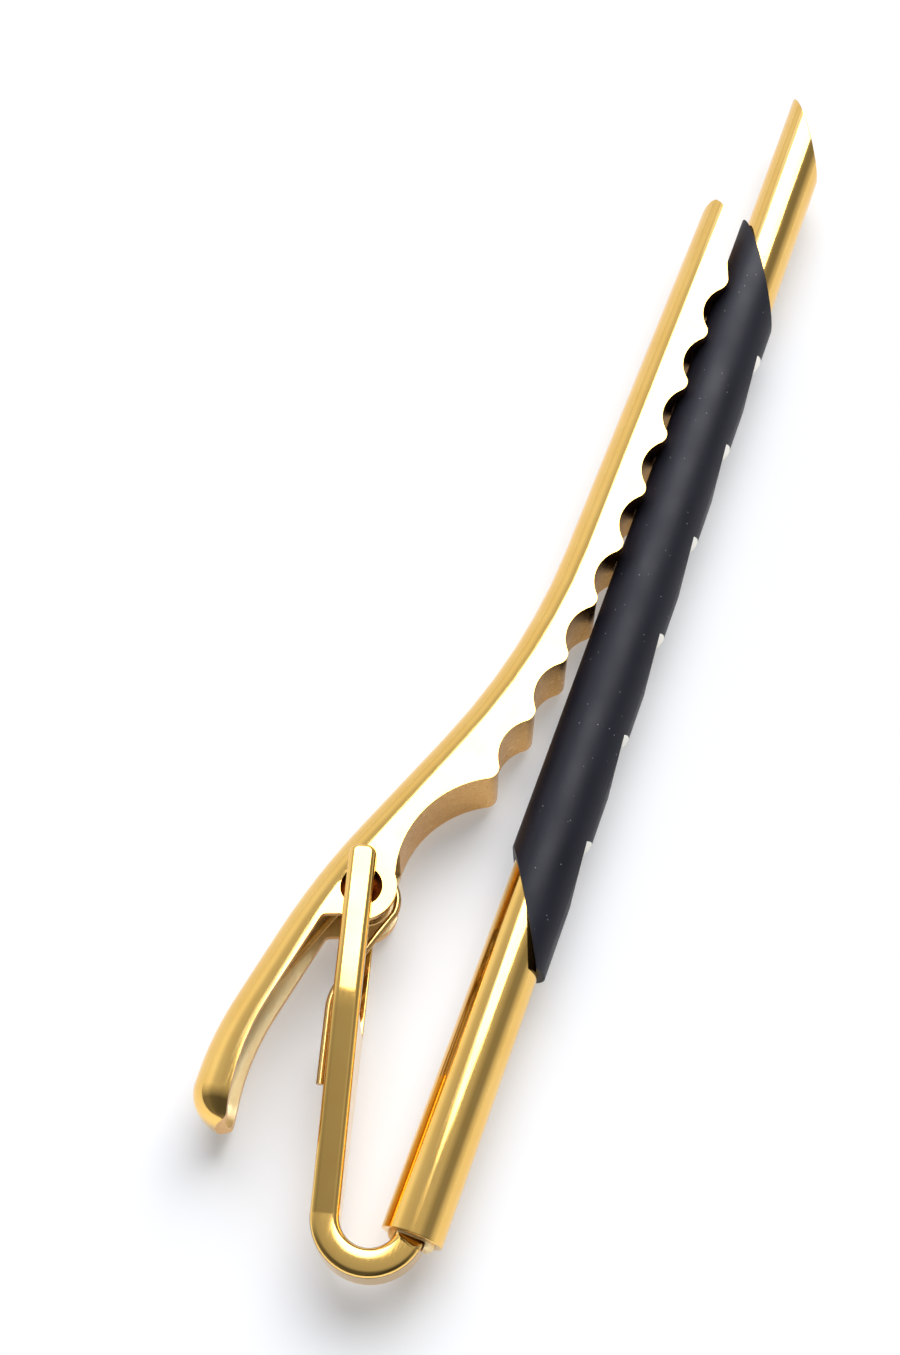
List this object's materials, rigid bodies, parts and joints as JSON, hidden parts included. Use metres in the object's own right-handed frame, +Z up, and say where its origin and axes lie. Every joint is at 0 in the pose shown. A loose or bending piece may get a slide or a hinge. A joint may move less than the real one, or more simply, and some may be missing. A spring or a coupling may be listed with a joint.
{
  "type": "tie clip",
  "caption": "Gold-coloured tie clip: a round bevelled bar in a black sleeve with bright cuts, and a sprung toothed jaw on a hairpin arm.",
  "frame": {"origin": "middle of the foot of the whole clip's box, as it lies on its side with the jaw closed", "axes": "+X along the bar towards its bevelled tip, +Y from the bar towards the jaw, +Z up across the clip's width"},
  "size_m": [0.0596, 0.0114, 0.0044],
  "materials": {
    "gold_plate": "polished gold plate on brass",
    "black_anodised": "satin black, with bright cuts",
    "spring_wire": "drawn wire, flash plated",
    "solder": "fused solder"
  },
  "bodies": {
    "frame": {"front_bar": "gold_plate", "black_sleeve": "black_anodised", "hairpin_arm": "gold_plate", "solder_fill": "solder", "hinge_pin": "gold_plate", "torsion_spring": "spring_wire"},
    "jaw": {"jaw_lever": "gold_plate"}
  },
  "joints": [
    {"name": "jaw_hinge", "type": "hinge", "parent": "frame", "child": "jaw", "pos_m": [-0.01576, 0.00227, 0.00221], "axis": [0, 0, 1], "range_deg": [0, 18], "stiffness_Nm_per_rad": 0.02, "springref_deg": -68.75, "deforming": ["torsion_spring"]}
  ]
}
